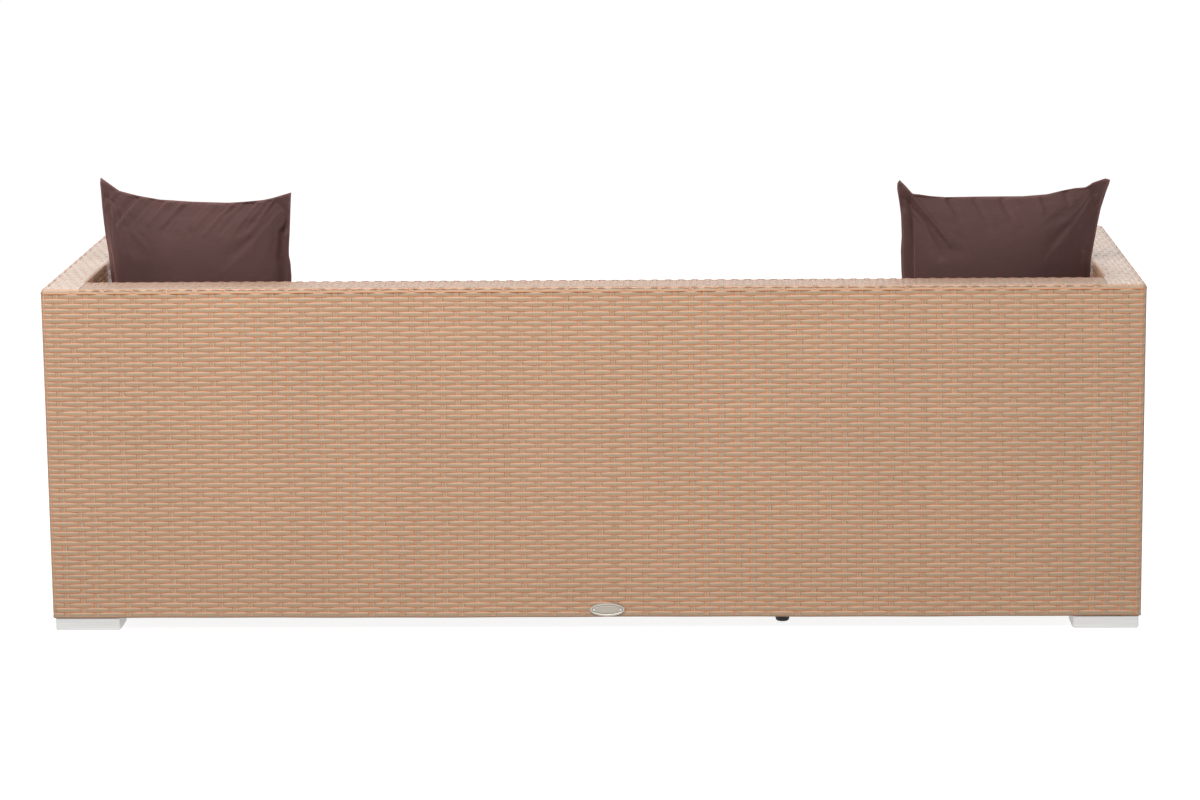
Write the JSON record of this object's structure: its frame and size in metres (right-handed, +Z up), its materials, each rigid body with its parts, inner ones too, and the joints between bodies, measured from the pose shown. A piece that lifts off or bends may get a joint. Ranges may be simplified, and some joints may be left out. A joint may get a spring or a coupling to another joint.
{
  "type": "rattan garden sofa",
  "caption": "Low box sofa with flat-strip rattan weave over a tube frame, block feet, loose seat and back cushions and scatter pillows.",
  "frame": {"origin": "on the floor, under the middle of the woven body", "axes": "+Z up; the sofa faces -Y, and +X is to the right for someone in front of it who looks at it"},
  "size_m": [2.1, 0.803, 0.8447],
  "materials": {
    "frame": "satin",
    "weave": "satin",
    "foot": "satin",
    "glide": "matte",
    "plate": "satin",
    "rivet": "satin",
    "cushion_fabric": "matte",
    "pillow_fabric": "matte"
  },
  "bodies": {
    "frame": {"rear_left_corner_post": "frame", "rear_left_inner_post": "frame", "front_left_corner_post": "frame", "front_left_inner_post": "frame", "left_arm_top_rail_outer": "frame", "left_arm_top_rail_inner": "frame", "left_arm_bottom_rail": "frame", "seat_rail_left": "frame", "seat_cross_member_left": "frame", "seat_tie_left": "frame", "back_upright_left": "frame", "rear_right_corner_post": "frame", "rear_right_inner_post": "frame", "front_right_corner_post": "frame", "front_right_inner_post": "frame", "right_arm_top_rail_outer": "frame", "right_arm_top_rail_inner": "frame", "right_arm_bottom_rail": "frame", "seat_rail_right": "frame", "seat_cross_member_right": "frame", "seat_tie_right": "frame", "back_upright_right": "frame", "back_bottom_rail": "frame", "back_top_rail_outer": "frame", "back_top_rail_inner": "frame", "front_bottom_rail": "frame", "seat_rail_front": "frame", "seat_rail_rear": "frame", "middle_leg_rear": "frame", "middle_leg_front": "frame", "left_arm_outer_weave": "weave", "left_arm_inner_weave": "weave", "left_arm_front_weave": "weave", "left_arm_top_weave": "weave", "right_arm_outer_weave": "weave", "right_arm_inner_weave": "weave", "right_arm_front_weave": "weave", "right_arm_top_weave": "weave", "back_outer_weave": "weave", "back_top_weave": "weave", "back_inner_weave": "weave", "front_apron_weave": "weave", "seat_deck_weave": "weave", "foot_rear_left": "foot", "foot_rear_right": "foot", "foot_front_left": "foot", "foot_front_right": "foot", "middle_glide_rear": "glide", "middle_glide_front": "glide", "oval_plate": "plate", "plate_rivet_left": "rivet", "plate_rivet_right": "rivet"},
    "seat_cushion_left": {"seat_cushion_left": "cushion_fabric"},
    "seat_cushion_middle": {"seat_cushion_middle": "cushion_fabric"},
    "seat_cushion_right": {"seat_cushion_right": "cushion_fabric"},
    "back_cushion_left": {"back_cushion_left": "cushion_fabric"},
    "back_cushion_middle": {"back_cushion_middle": "cushion_fabric"},
    "back_cushion_right": {"back_cushion_right": "cushion_fabric"},
    "scatter_pillow_left": {"scatter_pillow_left": "pillow_fabric"},
    "scatter_pillow_right": {"scatter_pillow_right": "pillow_fabric"}
  },
  "joints": [
    {"name": "seat_cushion_left_lift", "type": "slide", "parent": "frame", "child": "seat_cushion_left", "axis": [0, 0, 1], "range_m": [0, 0.36]},
    {"name": "seat_cushion_middle_lift", "type": "slide", "parent": "frame", "child": "seat_cushion_middle", "axis": [0, 0, 1], "range_m": [0, 0.36]},
    {"name": "seat_cushion_right_lift", "type": "slide", "parent": "frame", "child": "seat_cushion_right", "axis": [0, 0, 1], "range_m": [0, 0.36]},
    {"name": "back_cushion_left_lift", "type": "slide", "parent": "frame", "child": "back_cushion_left", "axis": [0, 0, 1], "range_m": [0, 0.36]},
    {"name": "back_cushion_middle_lift", "type": "slide", "parent": "frame", "child": "back_cushion_middle", "axis": [0, 0, 1], "range_m": [0, 0.36]},
    {"name": "back_cushion_right_lift", "type": "slide", "parent": "frame", "child": "back_cushion_right", "axis": [0, 0, 1], "range_m": [0, 0.36]},
    {"name": "scatter_pillow_left_lift", "type": "slide", "parent": "seat_cushion_left", "child": "scatter_pillow_left", "axis": [0, 0, 1], "range_m": [0, 0.26]},
    {"name": "scatter_pillow_right_lift", "type": "slide", "parent": "seat_cushion_right", "child": "scatter_pillow_right", "axis": [0, 0, 1], "range_m": [0, 0.26]}
  ]
}
